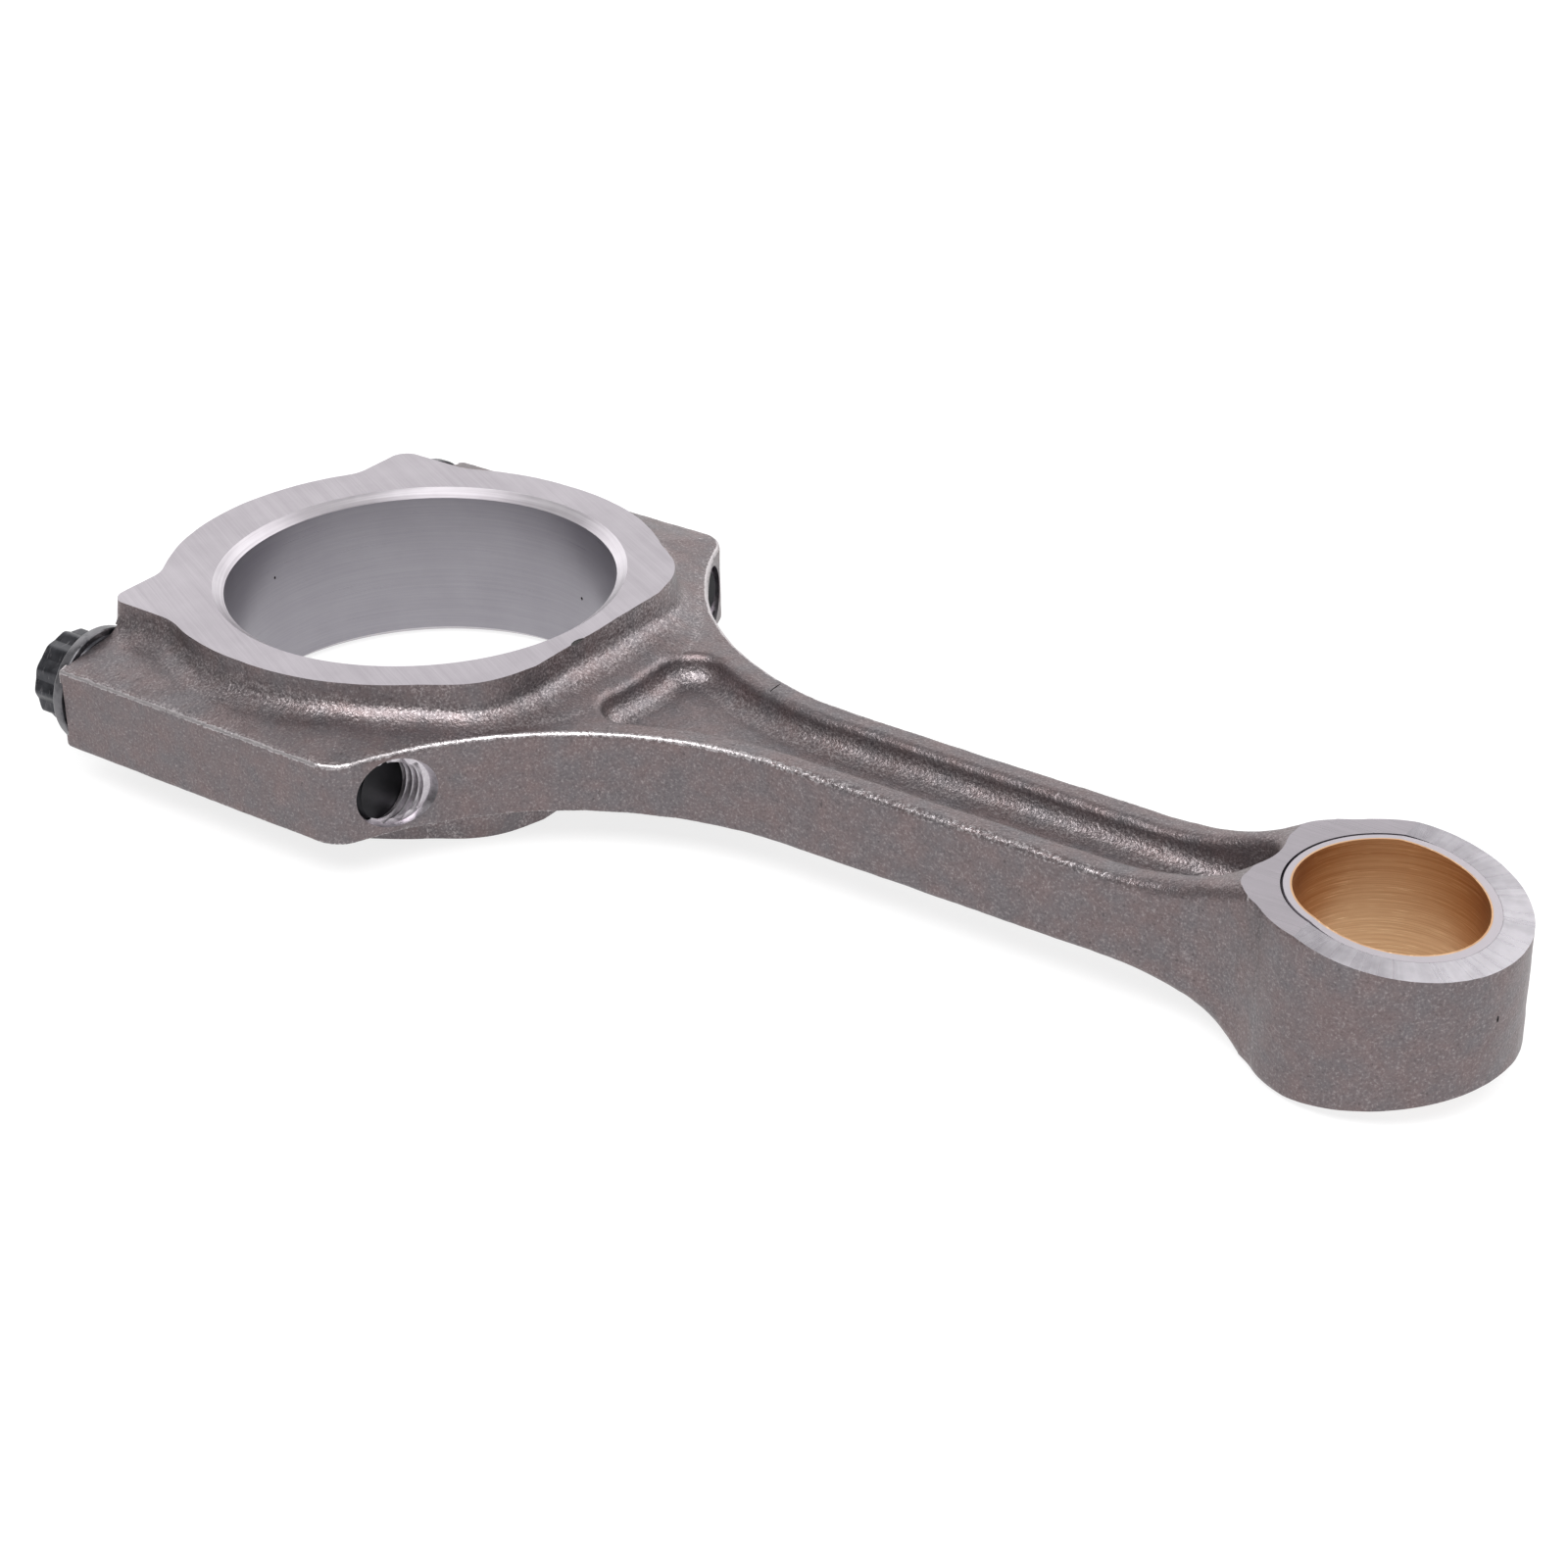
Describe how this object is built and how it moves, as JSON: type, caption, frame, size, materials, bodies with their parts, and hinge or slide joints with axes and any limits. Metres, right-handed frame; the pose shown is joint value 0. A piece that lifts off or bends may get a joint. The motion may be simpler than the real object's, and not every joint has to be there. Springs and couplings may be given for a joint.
{
  "type": "connecting rod",
  "caption": "Forged steel engine connecting rod with a fracture-split cap held by flanged bolts and a bronze-lined tapered small end.",
  "frame": {"origin": "on the surface the rod lies on, under the centre of its box", "axes": "+X from the big end towards the small end, +Y across the rod through the bolts, +Z along both bores"},
  "size_m": [0.1958, 0.0822, 0.0223],
  "materials": {
    "forged_steel": "shot-blasted forging with ground and bored faces",
    "bolt_steel": "black oxide",
    "bush_bronze": "bored bronze lining on a steel back"
  },
  "bodies": {
    "rod": {"rod_body": "forged_steel", "small_end_bush": "bush_bronze"},
    "cap": {"big_end_cap": "forged_steel"},
    "bolt_near": {"cap_bolt_near": "bolt_steel"},
    "bolt_far": {"cap_bolt_far": "bolt_steel"}
  },
  "joints": [
    {"name": "cap_lift_off", "type": "slide", "parent": "rod", "child": "cap", "axis": [-1, 0, 0], "range_m": [0, 0.065]},
    {"name": "bolt_near_draw_out", "type": "slide", "parent": "cap", "child": "bolt_near", "axis": [-1, 0, 0], "range_m": [0, 0.055]},
    {"name": "bolt_far_draw_out", "type": "slide", "parent": "cap", "child": "bolt_far", "axis": [-1, 0, 0], "range_m": [0, 0.055]}
  ]
}
